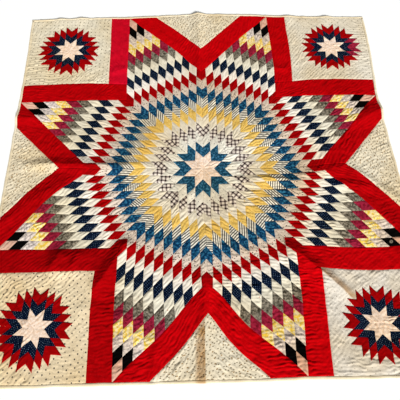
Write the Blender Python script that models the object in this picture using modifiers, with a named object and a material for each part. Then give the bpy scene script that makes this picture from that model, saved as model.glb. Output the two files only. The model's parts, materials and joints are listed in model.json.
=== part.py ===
"""Lone star quilt blanket, lying open on a flat surface.

An eight-armed star of small diamonds fills the middle, red bands frame it, and cream blocks
fill the corners and the gaps between the arms. The three layers are quilted together, so
each patch is puffed, and a cream binding wraps the four edges. The quilt has been stored
folded: its creases stand up as soft ridges. Its head is at +Y, and it rests at z = 0.
"""

import math
from collections import namedtuple

import bmesh
import bpy
from mathutils import Matrix, Vector

# Patchwork
DIAMOND_SIDE = 0.0584
DIAMONDS_PER_ARM = 10
ARMS = 8
RED_BAND_WIDTH = 0.111
BAND_DIAMONDS = 2

# Layers
SEAM_THICKNESS = 0.0030
EDGE_THICKNESS = 0.0024
PATCH_PUFF = 0.0024

# Binding
BINDING_WIDTH = 0.0130
BINDING_CLOTH = 0.0009
PIECE_GAP = 0.0003

# Worked out from the sizes above
ARM_LENGTH = DIAMOND_SIDE * DIAMONDS_PER_ARM
ARM_ANGLE = math.tau / ARMS
CORNER_START = ARM_LENGTH * math.cos(ARM_ANGLE)
TOP_HALF = CORNER_START + ARM_LENGTH
BORDER_TUCK = BINDING_WIDTH - BINDING_CLOTH - PIECE_GAP
BORDER_LIFT = BINDING_CLOTH + PIECE_GAP
MERGE_DISTANCE = 0.00005

# The creases and soft folds: where each runs, in diamond sides from the middle, the height of
# its crest, how far its slopes reach to its left and right, and how far its two ends take to
# die away, in metres
Fold = namedtuple("Fold", "x0 y0 x1 y1 height left right start_fade end_fade")
FOLDS = (
    Fold(-0.1, 17.3, -0.27, 3.0, 0.0130, 0.060, 0.060, 0.00, 0.30),
    Fold(-0.3, -3.0, -0.33, -17.3, 0.0130, 0.075, 0.048, 0.40, 0.00),
    Fold(-0.25, 4.0, -0.3, -4.0, 0.0050, 0.050, 0.050, 0.20, 0.20),
    Fold(-17.3, 0.45, -3.0, 0.25, 0.0150, 0.055, 0.065, 0.20, 0.30),
    Fold(2.0, -0.90, 9.2, -1.35, 0.0090, 0.032, 0.050, 0.20, 0.05),
    Fold(7.4, -1.10, 12.9, -0.20, 0.0065, 0.045, 0.055, 0.05, 0.05),
    Fold(12.7, -0.25, 17.3, -3.9, 0.0100, 0.045, 0.050, 0.05, 0.00),
    Fold(10.4, -1.60, 16.2, -2.7, 0.0110, 0.040, 0.055, 0.10, 0.15),
    Fold(-17.3, 5.45, -14.0, 4.9, 0.0130, 0.075, 0.060, 0.00, 0.12),
    Fold(17.3, 5.35, 13.2, 3.6, 0.0200, 0.075, 0.080, 0.00, 0.14),
    Fold(-17.3, -5.1, -10.6, -0.7, 0.0070, 0.110, 0.050, 0.00, 0.14),
    Fold(11.8, -1.9, 17.3, -6.9, 0.0110, 0.080, 0.050, 0.10, 0.00),
    Fold(6.1, -6.75, 11.9, -11.9, 0.0200, 0.058, 0.080, 0.06, 0.14),
    Fold(6.6, -7.2, 8.9, -9.2, 0.0130, 0.045, 0.110, 0.05, 0.08),
    Fold(-6.1, -6.1, -9.1, -11.1, 0.0200, 0.080, 0.060, 0.06, 0.08),
    Fold(-9.0, -10.9, -10.7, -13.4, 0.0060, 0.070, 0.060, 0.08, 0.12),
    Fold(-11.3, -6.8, -12.8, -9.2, 0.0210, 0.105, 0.055, 0.06, 0.06),
    Fold(-9.9, -6.8, -11.3, -9.2, 0.0140, 0.085, 0.045, 0.06, 0.06),
    Fold(-4.1, -13.2, -4.1, -17.3, 0.0080, 0.045, 0.040, 0.10, 0.00),
    Fold(6.7, 10.8, 8.9, 10.5, 0.0070, 0.050, 0.035, 0.05, 0.05),
    Fold(-9.1, 10.2, -6.8, 11.1, 0.0060, 0.045, 0.035, 0.05, 0.05),
    Fold(-14.3, 15.6, -14.3, 17.3, 0.0060, 0.060, 0.060, 0.10, 0.00),
    Fold(-12.2, 15.8, -12.2, 17.3, 0.0080, 0.060, 0.060, 0.10, 0.00),
    Fold(9.5, 15.8, 9.5, 17.3, 0.0060, 0.060, 0.060, 0.10, 0.00),
    Fold(13.4, 15.8, 13.4, 17.3, 0.0070, 0.060, 0.060, 0.10, 0.00),
)
CREST_BLEND = 3.0

# Where handwork and use have pulled the cloth out of square: a place and a shift, both in
# diamond sides, and how far around it the pull is felt
Pull = namedtuple("Pull", "x y shift_x shift_y reach")
PULLS = (
    Pull(-10.0, 17.3, -0.19, 0.24, 0.55),
    Pull(2.0, 17.3, 0.09, 0.60, 0.45),
    Pull(17.3, 13.5, 0.08, -0.13, 0.30),
    Pull(17.3, 5.0, -0.17, 0.11, 0.30),
    Pull(12.0, 7.1, -0.49, 0.41, 0.28),
    Pull(7.1, 11.3, 0.32, -0.51, 0.22),
    Pull(-7.1, 11.6, -0.13, -0.36, 0.18),
    Pull(-10.6, 7.1, 0.11, 0.11, 0.25),
    Pull(0.0, 11.5, 0.02, 0.08, 0.22),
    Pull(0.0, -0.8, -0.21, -0.69, 0.22),
    Pull(7.6, -0.4, 0.27, -0.11, 0.20),
    Pull(-8.0, 0.0, 0.09, -0.13, 0.20),
    Pull(-8.9, -7.1, 0.32, 0.02, 0.20),
    Pull(9.3, -7.2, -0.10, -0.03, 0.18),
    Pull(14.5, -7.1, 0.02, -0.47, 0.32),
    Pull(7.1, -11.3, 0.42, 0.20, 0.28),
    Pull(-7.1, -11.3, -0.33, 0.06, 0.28),
    Pull(0.0, -12.7, 0.06, 0.49, 0.15),
    Pull(13.2, -2.9, 0.09, 0.25, 0.17),
    Pull(-13.2, -2.9, -0.16, 0.43, 0.17),
    Pull(2.9, 13.2, -0.17, -0.24, 0.17),
    Pull(-2.9, 13.2, 0.26, 0.05, 0.17),
    Pull(2.9, -13.2, -0.42, -0.37, 0.17),
    Pull(-2.9, -13.2, 0.22, -0.15, 0.17),
    Pull(-5.2, -12.3, 0.03, -0.27, 0.17),
    Pull(5.2, 12.3, -0.08, 0.32, 0.17),
    Pull(12.3, 5.2, 0.55, -0.21, 0.17),
    Pull(12.3, -5.2, 0.24, -0.14, 0.17),
    Pull(-12.3, 5.2, 0.01, -0.09, 0.17),
    Pull(-12.3, -5.2, -0.34, -0.23, 0.17),
    Pull(7.2, 3.0, 0.04, -0.13, 0.17),
    Pull(3.0, 7.2, 0.00, 0.01, 0.17),
    Pull(-3.0, 7.2, 0.00, -0.01, 0.17),
    Pull(-7.2, 3.0, -0.02, -0.06, 0.17),
    Pull(-7.2, -3.0, -0.07, -0.09, 0.17),
    Pull(-3.0, -7.2, 0.13, -0.03, 0.17),
    Pull(3.0, -7.2, -0.07, -0.30, 0.17),
    Pull(7.2, -3.0, 0.02, -0.01, 0.17),
    Pull(-12.0, 12.0, 0.28, 0.19, 0.30),
    Pull(-12.0, -12.0, 0.20, 0.02, 0.30),
    Pull(12.0, -12.0, -0.25, -0.17, 0.30),
    Pull(0.0, 4.5, 0.11, 0.00, 0.30),
    Pull(0.0, -4.5, 0.01, 0.03, 0.30),
    Pull(4.5, 0.0, -0.16, -0.06, 0.30),
    Pull(-4.5, 0.0, -0.07, 0.13, 0.30),
    Pull(0.0, 9.3, 0.02, -0.05, 0.17),
    Pull(0.0, -9.3, -0.01, -0.24, 0.17),
    Pull(7.1, 7.1, 0.12, 0.11, 0.20),
    Pull(-7.1, 7.1, -0.07, -0.00, 0.20),
    Pull(-7.1, -7.1, -0.12, -0.09, 0.20),
    Pull(7.1, -7.1, 0.05, -0.15, 0.20),
    Pull(0.0, 0.0, 0.23, 0.46, 0.17),
)


def clear_scene():
    for item in list(bpy.data.objects):
        bpy.data.objects.remove(item, do_unlink=True)


def new_collection(name):
    collection = bpy.data.collections.new(name)
    bpy.context.scene.collection.children.link(collection)
    return collection


def cloth_material(name, colour, roughness):
    material = bpy.data.materials.new(name)
    material.use_nodes = True
    shader = material.node_tree.nodes["Principled BSDF"]
    shader.inputs["Base Color"].default_value = (*colour, 1.0)
    shader.inputs["Roughness"].default_value = roughness
    shader.inputs["Metallic"].default_value = 0.0
    return material


def fold_height(x, y):
    """Height of the underside over the surface at a place in the flat layout."""
    total = 0.0
    place = Vector((x, y))
    for fold in FOLDS:
        start = Vector((fold.x0, fold.y0)) * DIAMOND_SIDE
        line = Vector((fold.x1, fold.y1)) * DIAMOND_SIDE - start
        along = (place - start).dot(line.normalized())
        across = line.normalized().cross(place - start)
        share = abs(across) / (fold.left if across > 0.0 else fold.right)
        if share >= 1.0:
            continue
        slope = (1.0 - share) ** 2 * (1.0 + share)
        ends = rise(along, fold.start_fade) * rise(line.length - along, fold.end_fade)
        total += (fold.height * slope * ends) ** CREST_BLEND
    return total ** (1.0 / CREST_BLEND)


def rise(distance, fade):
    """How much of its height a fold has at a distance in from one end. A fold with no fade
    runs off the quilt's edge at full height."""
    if fade == 0.0:
        return 1.0
    t = min(max(distance / fade, 0.0), 1.0)
    return t * t * (3.0 - 2.0 * t)


def pulled(x, y):
    """Where a place in the flat layout really lies."""
    shift = Vector((0.0, 0.0))
    for pull in PULLS:
        distance = math.hypot(x - pull.x * DIAMOND_SIDE, y - pull.y * DIAMOND_SIDE)
        weight = math.exp(-((distance / pull.reach) ** 2))
        shift += Vector((pull.shift_x, pull.shift_y)) * DIAMOND_SIDE * weight
    return x + shift.x, y + shift.y


def lay(bm):
    """Lays a flat, level piece in its real place. The border beyond the patchwork goes along
    with the nearest point of the patchwork's edge."""
    for vert in bm.verts:
        x, y, z = vert.co
        inner_x = min(max(x, -TOP_HALF), TOP_HALF)
        inner_y = min(max(y, -TOP_HALF), TOP_HALF)
        new_x, new_y = pulled(inner_x, inner_y)
        vert.co = Vector((new_x + x - inner_x, new_y + y - inner_y, z + fold_height(inner_x, inner_y)))


def add_patches(bm, corner, side_a, side_b, banded, halved):
    """A ten by ten grid of patches from a corner along two sides. A banded one has the red
    band along both sides, and a halved one is cut along its diagonal."""
    patch = bmesh.new()
    bmesh.ops.create_grid(patch, x_segments=DIAMONDS_PER_ARM, y_segments=DIAMONDS_PER_ARM, size=0.5)
    half_count = DIAMONDS_PER_ARM / 2.0
    bmesh.ops.transform(
        patch,
        matrix=Matrix.Translation((half_count, half_count, 0.0)) @ Matrix.Scale(DIAMONDS_PER_ARM, 4),
        verts=patch.verts,
    )
    if halved:
        bmesh.ops.bisect_plane(
            patch,
            geom=patch.verts[:] + patch.edges[:] + patch.faces[:],
            dist=MERGE_DISTANCE,
            plane_co=(half_count, half_count, 0.0),
            plane_no=(1.0, 1.0, 0.0),
            clear_outer=True,
        )
    if banded:
        set_band_width(patch, halved)
    placed = Matrix.Identity(4)
    placed.col[0] = (*side_a, 0.0, 0.0)
    placed.col[1] = (*side_b, 0.0, 0.0)
    placed.col[3] = (*corner, 0.0, 1.0)
    bmesh.ops.transform(patch, matrix=placed, verts=patch.verts)
    mesh = bpy.data.meshes.new("patches")
    patch.to_mesh(mesh)
    patch.free()
    bm.from_mesh(mesh)
    bpy.data.meshes.remove(mesh)


def set_band_width(patch, halved):
    """Brings the seam between the red band and the cream block to the band's real width. The
    ends on a diagonal cut stay on it."""
    width = RED_BAND_WIDTH / DIAMOND_SIDE
    for vert in patch.verts:
        a, b = round(vert.co.x), round(vert.co.y)
        if halved and a + b == DIAMONDS_PER_ARM:
            continue
        if a == BAND_DIAMONDS and b >= BAND_DIAMONDS:
            vert.co.x = width
        if b == BAND_DIAMONDS and a >= BAND_DIAMONDS:
            vert.co.y = width


def star_patchwork():
    """The pieced top as one flat sheet at z = 0."""
    bm = bmesh.new()
    for arm in range(ARMS):
        side_a = DIAMOND_SIDE * Vector((math.cos(arm * ARM_ANGLE), math.sin(arm * ARM_ANGLE)))
        side_b = DIAMOND_SIDE * Vector((math.cos((arm + 1) * ARM_ANGLE), math.sin((arm + 1) * ARM_ANGLE)))
        add_patches(bm, (0.0, 0.0), side_a, side_b, banded=False, halved=False)
    for quarter in range(4):
        turn = Matrix.Rotation(quarter * math.pi / 2.0, 2)
        inner_corner = turn @ Vector((CORNER_START, CORNER_START))
        square_a = turn @ Vector((DIAMOND_SIDE, 0.0))
        square_b = turn @ Vector((0.0, DIAMOND_SIDE))
        add_patches(bm, inner_corner, square_a, square_b, banded=True, halved=False)
        apex = turn @ Vector((ARM_LENGTH, 0.0))
        leg_a = DIAMOND_SIDE * (turn @ Vector((math.cos(ARM_ANGLE), -math.sin(ARM_ANGLE))))
        leg_b = DIAMOND_SIDE * (turn @ Vector((math.cos(ARM_ANGLE), math.sin(ARM_ANGLE))))
        add_patches(bm, apex, leg_a, leg_b, banded=True, halved=True)
    bmesh.ops.remove_doubles(bm, verts=bm.verts, dist=MERGE_DISTANCE)
    return bm


def add_border(bm):
    """The raw edge of the layers, which runs on past the patchwork into the binding. Cuts in
    line with the patchwork's edges square off its four corners."""
    rim = [edge for edge in bm.edges if edge.is_boundary]
    grown = bmesh.ops.extrude_edge_only(bm, edges=rim)["geom"]
    for vert in [item for item in grown if isinstance(item, bmesh.types.BMVert)]:
        for axis in (0, 1):
            if abs(abs(vert.co[axis]) - TOP_HALF) < MERGE_DISTANCE:
                vert.co[axis] += math.copysign(BORDER_TUCK, vert.co[axis])
    for axis in (0, 1):
        for side in (-1.0, 1.0):
            normal = Vector((0.0, 0.0, 0.0))
            normal[axis] = side
            bmesh.ops.bisect_plane(
                bm,
                geom=bm.verts[:] + bm.edges[:] + bm.faces[:],
                dist=MERGE_DISTANCE,
                plane_co=normal * TOP_HALF,
                plane_no=normal,
            )


def on_border(vert):
    return max(abs(vert.co.x), abs(vert.co.y)) > TOP_HALF - MERGE_DISTANCE


def thicken(bm):
    """Gives the flat sheet its layers and puffs each patch between its quilted seams. The
    border is pressed thin and rides on the binding's lower fold."""
    for vert in bm.verts:
        if on_border(vert):
            vert.co.z = BORDER_LIFT
    under = bm.faces[:]
    grown = bmesh.ops.extrude_face_region(bm, geom=under)["geom"]
    for vert in [item for item in grown if isinstance(item, bmesh.types.BMVert)]:
        vert.co.z += EDGE_THICKNESS if on_border(vert) else SEAM_THICKNESS
    upper = [item for item in grown if isinstance(item, bmesh.types.BMFace)]
    puffed = [face for face in upper if not all(on_border(vert) for vert in face.verts)]
    bmesh.ops.recalc_face_normals(bm, faces=bm.faces)
    bmesh.ops.poke(bm, faces=puffed, offset=PATCH_PUFF, center_mode="MEAN")


def edge_stations():
    """Places along one side of the quilt where patches meet the binding."""
    corner = [CORNER_START + step * DIAMOND_SIDE for step in range(DIAMONDS_PER_ARM + 1)]
    corner[BAND_DIAMONDS] = CORNER_START + RED_BAND_WIDTH
    half_patch = 2.0 * CORNER_START / DIAMONDS_PER_ARM
    middle = [-CORNER_START + step * half_patch for step in range(1, DIAMONDS_PER_ARM)]
    return [-place for place in reversed(corner)] + middle + corner


def binding_strip(side, full_width):
    """A strip of cloth folded round one edge, as the open sheet of its inner face. Side counts
    quarter turns from the head, and a full-width strip covers the corners too."""
    stations = edge_stations()
    if full_width:
        end = TOP_HALF + BINDING_WIDTH
        stations = [-end] + stations + [end]
    inner = TOP_HALF + PIECE_GAP
    outer = TOP_HALF + BINDING_WIDTH - BINDING_CLOTH
    low = BINDING_CLOTH
    high = BORDER_LIFT + EDGE_THICKNESS + PIECE_GAP
    wrap = ((inner, low), (outer, low), (outer, high), (inner, high))
    bm = bmesh.new()
    bmesh.ops.create_grid(bm, x_segments=len(stations) - 1, y_segments=len(wrap) - 1, size=0.5)
    for vert in bm.verts:
        station = stations[round((vert.co.x + 0.5) * (len(stations) - 1))]
        out, height = wrap[round((vert.co.y + 0.5) * (len(wrap) - 1))]
        vert.co = Vector((station, out, height))
    bmesh.ops.transform(bm, matrix=Matrix.Rotation(side * math.pi / 2.0, 4, "Z"), verts=bm.verts)
    return bm


def place(name, bm, collection, material):
    mesh = bpy.data.meshes.new(name)
    bm.to_mesh(mesh)
    bm.free()
    mesh.materials.append(material)
    item = bpy.data.objects.new(name, mesh)
    collection.objects.link(item)
    return item


def solidified(name, bm, collection, material):
    """Thickens an open sheet outwards, then lays it along the quilt's edge."""
    item = place(name, bm, collection, material)
    shell = item.modifiers.new("cloth thickness", "SOLIDIFY")
    shell.thickness = BINDING_CLOTH
    shell.offset = -1.0
    shell.use_even_offset = True
    bpy.context.view_layer.update()
    thick = bpy.data.meshes.new_from_object(item.evaluated_get(bpy.context.evaluated_depsgraph_get()))
    item.modifiers.clear()
    bm = bmesh.new()
    bm.from_mesh(thick)
    lay(bm)
    bm.to_mesh(item.data)
    bm.free()
    bpy.data.meshes.remove(thick)
    return item


def build_quilt(collection):
    bm = star_patchwork()
    add_border(bm)
    thicken(bm)
    lay(bm)
    place("quilt_layers", bm, collection, cloth_material("quilted cotton", (0.62, 0.16, 0.12), 0.85))


def build_binding(collection):
    material = cloth_material("binding cotton", (0.78, 0.70, 0.55), 0.85)
    for side, name in enumerate(("binding_head", "binding_left", "binding_foot", "binding_right")):
        solidified(name, binding_strip(side, full_width=side % 2 == 0), collection, material)


def centre(collection):
    """Puts the origin under the middle of the quilt's outline."""
    places = [vert.co for item in collection.objects for vert in item.data.vertices]
    middle_x = (min(co.x for co in places) + max(co.x for co in places)) / 2.0
    middle_y = (min(co.y for co in places) + max(co.y for co in places)) / 2.0
    for item in collection.objects:
        item.data.transform(Matrix.Translation((-middle_x, -middle_y, 0.0)))


clear_scene()
star_quilt = new_collection("star_quilt_blanket")
build_quilt(star_quilt)
build_binding(star_quilt)
centre(star_quilt)
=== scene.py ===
"""Lone star quilt blanket, spread open on a pale floor.

The quilt is hand pieced from more than two dozen cottons and hand quilted in rows about 16 mm
apart. Each section below makes one group of its pieces: star arms, red bands, corner blocks,
medallions, side triangles, backing, binding, and last the hand stitches, which are laid over all.
"""

import json
import math
from collections import namedtuple

import bmesh
import bpy
import numpy as np
from mathutils import Matrix, Quaternion, Vector
from mathutils.bvhtree import BVHTree

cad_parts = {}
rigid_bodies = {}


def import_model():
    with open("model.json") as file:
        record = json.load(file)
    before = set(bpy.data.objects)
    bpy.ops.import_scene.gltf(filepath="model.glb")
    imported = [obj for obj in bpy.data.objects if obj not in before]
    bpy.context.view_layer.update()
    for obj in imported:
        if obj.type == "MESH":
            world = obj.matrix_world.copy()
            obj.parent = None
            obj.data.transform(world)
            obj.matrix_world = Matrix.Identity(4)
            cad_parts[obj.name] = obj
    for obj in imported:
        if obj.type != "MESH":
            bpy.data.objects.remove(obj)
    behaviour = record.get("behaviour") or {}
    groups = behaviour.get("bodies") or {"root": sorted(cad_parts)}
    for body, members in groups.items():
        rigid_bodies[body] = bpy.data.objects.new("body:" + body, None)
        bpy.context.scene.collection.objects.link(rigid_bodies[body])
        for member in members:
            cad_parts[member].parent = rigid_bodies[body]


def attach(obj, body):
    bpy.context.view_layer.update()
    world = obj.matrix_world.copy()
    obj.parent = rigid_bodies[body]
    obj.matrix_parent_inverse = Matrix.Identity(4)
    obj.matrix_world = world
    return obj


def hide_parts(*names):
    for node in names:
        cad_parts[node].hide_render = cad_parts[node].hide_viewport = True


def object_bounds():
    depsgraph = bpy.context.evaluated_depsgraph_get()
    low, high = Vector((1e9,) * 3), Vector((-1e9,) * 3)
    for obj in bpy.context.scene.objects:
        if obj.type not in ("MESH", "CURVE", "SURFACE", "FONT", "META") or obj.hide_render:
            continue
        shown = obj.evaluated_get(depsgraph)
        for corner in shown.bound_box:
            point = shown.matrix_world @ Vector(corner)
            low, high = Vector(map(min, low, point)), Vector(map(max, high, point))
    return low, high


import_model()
cad_low, cad_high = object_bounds()

# The lie of the quilt. It was stored folded, so its creases stand up as soft ridges when it is
# spread out, and piecing and use have pulled its squares out of true. Every piece is drawn in
# the flat layout, with the star's middle at 0, 0, and then put in its real place by lie_of().
PATCH = 0.0584
ARM_PATCHES = 10
ARMS = 8
BAND_WIDTH = 0.111
BINDING_WIDTH = 0.0130
ARM = PATCH * ARM_PATCHES
ARM_ANGLE = math.tau / ARMS
CORNER = ARM * math.cos(ARM_ANGLE)
TOP_HALF = CORNER + ARM

# Where each crease runs, in patch sides, the height of its crest, how far its slopes reach to
# its left and right, and how far its two ends take to die away, in metres
Fold = namedtuple("Fold", "x0 y0 x1 y1 height left right start_fade end_fade")
FOLDS = (
    Fold(-0.1, 17.3, -0.27, 3.0, 0.0130, 0.060, 0.060, 0.00, 0.30),
    Fold(-0.3, -3.0, -0.33, -17.3, 0.0130, 0.075, 0.048, 0.40, 0.00),
    Fold(-0.25, 4.0, -0.3, -4.0, 0.0050, 0.050, 0.050, 0.20, 0.20),
    Fold(-17.3, 0.45, -3.0, 0.25, 0.0150, 0.055, 0.065, 0.20, 0.30),
    Fold(2.0, -0.90, 9.2, -1.35, 0.0090, 0.032, 0.050, 0.20, 0.05),
    Fold(7.4, -1.10, 12.9, -0.20, 0.0065, 0.045, 0.055, 0.05, 0.05),
    Fold(12.7, -0.25, 17.3, -3.9, 0.0100, 0.045, 0.050, 0.05, 0.00),
    Fold(10.4, -1.60, 16.2, -2.7, 0.0110, 0.040, 0.055, 0.10, 0.15),
    Fold(-17.3, 5.45, -14.0, 4.9, 0.0130, 0.075, 0.060, 0.00, 0.12),
    Fold(17.3, 5.35, 13.2, 3.6, 0.0200, 0.075, 0.080, 0.00, 0.14),
    Fold(-17.3, -5.1, -10.6, -0.7, 0.0070, 0.110, 0.050, 0.00, 0.14),
    Fold(11.8, -1.9, 17.3, -6.9, 0.0110, 0.080, 0.050, 0.10, 0.00),
    Fold(6.1, -6.75, 11.9, -11.9, 0.0200, 0.058, 0.080, 0.06, 0.14),
    Fold(6.6, -7.2, 8.9, -9.2, 0.0130, 0.045, 0.110, 0.05, 0.08),
    Fold(-6.1, -6.1, -9.1, -11.1, 0.0200, 0.080, 0.060, 0.06, 0.08),
    Fold(-9.0, -10.9, -10.7, -13.4, 0.0060, 0.070, 0.060, 0.08, 0.12),
    Fold(-11.3, -6.8, -12.8, -9.2, 0.0210, 0.105, 0.055, 0.06, 0.06),
    Fold(-9.9, -6.8, -11.3, -9.2, 0.0140, 0.085, 0.045, 0.06, 0.06),
    Fold(-4.1, -13.2, -4.1, -17.3, 0.0080, 0.045, 0.040, 0.10, 0.00),
    Fold(6.7, 10.8, 8.9, 10.5, 0.0070, 0.050, 0.035, 0.05, 0.05),
    Fold(-9.1, 10.2, -6.8, 11.1, 0.0060, 0.045, 0.035, 0.05, 0.05),
    Fold(-14.3, 15.6, -14.3, 17.3, 0.0060, 0.060, 0.060, 0.10, 0.00),
    Fold(-12.2, 15.8, -12.2, 17.3, 0.0080, 0.060, 0.060, 0.10, 0.00),
    Fold(9.5, 15.8, 9.5, 17.3, 0.0060, 0.060, 0.060, 0.10, 0.00),
    Fold(13.4, 15.8, 13.4, 17.3, 0.0070, 0.060, 0.060, 0.10, 0.00),
)

# Where the cloth is pulled out of square: a place and a shift, both in patch sides, and how far
# around it the pull is felt, in metres
Pull = namedtuple("Pull", "x y shift_x shift_y reach")
PULLS = (
    Pull(-10.0, 17.3, -0.19, 0.24, 0.55),
    Pull(2.0, 17.3, 0.09, 0.60, 0.45),
    Pull(17.3, 13.5, 0.08, -0.13, 0.30),
    Pull(17.3, 5.0, -0.17, 0.11, 0.30),
    Pull(12.0, 7.1, -0.49, 0.41, 0.28),
    Pull(7.1, 11.3, 0.32, -0.51, 0.22),
    Pull(-7.1, 11.6, -0.13, -0.36, 0.18),
    Pull(-10.6, 7.1, 0.11, 0.11, 0.25),
    Pull(0.0, 11.5, 0.02, 0.08, 0.22),
    Pull(0.0, -0.8, -0.21, -0.69, 0.22),
    Pull(7.6, -0.4, 0.27, -0.11, 0.20),
    Pull(-8.0, 0.0, 0.09, -0.13, 0.20),
    Pull(-8.9, -7.1, 0.32, 0.02, 0.20),
    Pull(9.3, -7.2, -0.10, -0.03, 0.18),
    Pull(14.5, -7.1, 0.02, -0.47, 0.32),
    Pull(7.1, -11.3, 0.42, 0.20, 0.28),
    Pull(-7.1, -11.3, -0.33, 0.06, 0.28),
    Pull(0.0, -12.7, 0.06, 0.49, 0.15),
    Pull(13.2, -2.9, 0.09, 0.25, 0.17),
    Pull(-13.2, -2.9, -0.16, 0.43, 0.17),
    Pull(2.9, 13.2, -0.17, -0.24, 0.17),
    Pull(-2.9, 13.2, 0.26, 0.05, 0.17),
    Pull(2.9, -13.2, -0.42, -0.37, 0.17),
    Pull(-2.9, -13.2, 0.22, -0.15, 0.17),
    Pull(-5.2, -12.3, 0.03, -0.27, 0.17),
    Pull(5.2, 12.3, -0.08, 0.32, 0.17),
    Pull(12.3, 5.2, 0.55, -0.21, 0.17),
    Pull(12.3, -5.2, 0.24, -0.14, 0.17),
    Pull(-12.3, 5.2, 0.01, -0.09, 0.17),
    Pull(-12.3, -5.2, -0.34, -0.23, 0.17),
    Pull(7.2, 3.0, 0.04, -0.13, 0.17),
    Pull(3.0, 7.2, 0.00, 0.01, 0.17),
    Pull(-3.0, 7.2, 0.00, -0.01, 0.17),
    Pull(-7.2, 3.0, -0.02, -0.06, 0.17),
    Pull(-7.2, -3.0, -0.07, -0.09, 0.17),
    Pull(-3.0, -7.2, 0.13, -0.03, 0.17),
    Pull(3.0, -7.2, -0.07, -0.30, 0.17),
    Pull(7.2, -3.0, 0.02, -0.01, 0.17),
    Pull(-12.0, 12.0, 0.28, 0.19, 0.30),
    Pull(-12.0, -12.0, 0.20, 0.02, 0.30),
    Pull(12.0, -12.0, -0.25, -0.17, 0.30),
    Pull(0.0, 4.5, 0.11, 0.00, 0.30),
    Pull(0.0, -4.5, 0.01, 0.03, 0.30),
    Pull(4.5, 0.0, -0.16, -0.06, 0.30),
    Pull(-4.5, 0.0, -0.07, 0.13, 0.30),
    Pull(0.0, 9.3, 0.02, -0.05, 0.17),
    Pull(0.0, -9.3, -0.01, -0.24, 0.17),
    Pull(7.1, 7.1, 0.12, 0.11, 0.20),
    Pull(-7.1, 7.1, -0.07, -0.00, 0.20),
    Pull(-7.1, -7.1, -0.12, -0.09, 0.20),
    Pull(7.1, -7.1, 0.05, -0.15, 0.20),
    Pull(0.0, 0.0, 0.23, 0.46, 0.17),
)
HAND_WOBBLE = 0.0011
WOBBLE_SIZE = 0.050
NOISE_SIDE = 256
OUTLINE_STEPS = 400


def unevenness(flat, size, seed):
    """Smooth chance values from -1 to 1, which change over about size metres."""
    lattice = np.random.default_rng(seed).uniform(-1.0, 1.0, (NOISE_SIDE, NOISE_SIDE))
    place = flat / size
    cell = np.floor(place).astype(int)
    share = place - cell
    share = share * share * (3.0 - 2.0 * share)
    i, j = (cell % NOISE_SIDE).T
    i_next, j_next = ((cell + 1) % NOISE_SIDE).T
    near = lattice[i, j] * (1.0 - share[:, 0]) + lattice[i_next, j] * share[:, 0]
    far = lattice[i, j_next] * (1.0 - share[:, 0]) + lattice[i_next, j_next] * share[:, 0]
    return near * (1.0 - share[:, 1]) + far * share[:, 1]


def rise(distance, fade):
    """How much of its height a fold has at a distance in from one end. A fold with no fade
    runs off the quilt's edge at full height."""
    if fade == 0.0:
        return 1.0
    t = np.clip(distance / fade, 0.0, 1.0)
    return t * t * (3.0 - 2.0 * t)


def beside(flat, line):
    """Metres along a line from its start, metres on to its end, and how far aside places lie,
    as a share of the line's reach on that side."""
    start = np.array((line.x0, line.y0)) * PATCH
    run = np.array((line.x1, line.y1)) * PATCH - start
    length = np.hypot(*run)
    direction = run / length
    along = (flat - start) @ direction
    across = (flat - start) @ np.array((-direction[1], direction[0]))
    reach = np.where(across > 0.0, line.left, line.right)
    return along, length - along, np.clip(np.abs(across) / reach, 0.0, 1.0)


def fold_height(flat):
    """Height of the quilt's underside over the floor. Folds that meet are blended by the cube
    root of the sum of their cubes."""
    total = np.zeros(len(flat))
    for fold in FOLDS:
        along, to_end, share = beside(flat, fold)
        slope = (1.0 - share) ** 2 * (1.0 + share)
        ends = rise(along, fold.start_fade) * rise(to_end, fold.end_fade)
        total += (fold.height * slope * ends) ** 3.0
    return np.cbrt(total)


def pulled(flat):
    """Places in the flat layout, moved to where the pulls and an uneven hand leave them."""
    moved = flat.copy()
    for pull in PULLS:
        away = flat - np.array((pull.x, pull.y)) * PATCH
        weight = np.exp(-(away**2).sum(axis=1) / pull.reach**2)
        moved += np.outer(weight, np.array((pull.shift_x, pull.shift_y)) * PATCH)
    moved[:, 0] += HAND_WOBBLE * unevenness(flat, WOBBLE_SIZE, seed=11)
    moved[:, 1] += HAND_WOBBLE * unevenness(flat, WOBBLE_SIZE, seed=12)
    return moved


def centring_shift():
    """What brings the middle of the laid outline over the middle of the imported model."""
    edge = TOP_HALF + BINDING_WIDTH
    steps = np.linspace(-edge, edge, OUTLINE_STEPS)
    sides = [np.column_stack((steps, np.full_like(steps, side))) for side in (-edge, edge)]
    outline = np.vstack(sides + [side[:, ::-1] for side in sides])
    inner = np.clip(outline, -TOP_HALF, TOP_HALF)
    placed = pulled(inner) + outline - inner
    middle = (placed.min(axis=0) + placed.max(axis=0)) / 2.0
    return (np.array(cad_low) + np.array(cad_high))[:2] / 2.0 - middle


SHIFT = centring_shift()


def lie_of(flat, height):
    """Real places of flat ones at a height over the underside. What lies beyond the patchwork
    goes along with the nearest point of the patchwork's edge."""
    inner = np.clip(flat, -TOP_HALF, TOP_HALF)
    placed = pulled(inner) + flat - inner + SHIFT
    return np.column_stack((placed, fold_height(inner) + height))


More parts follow.
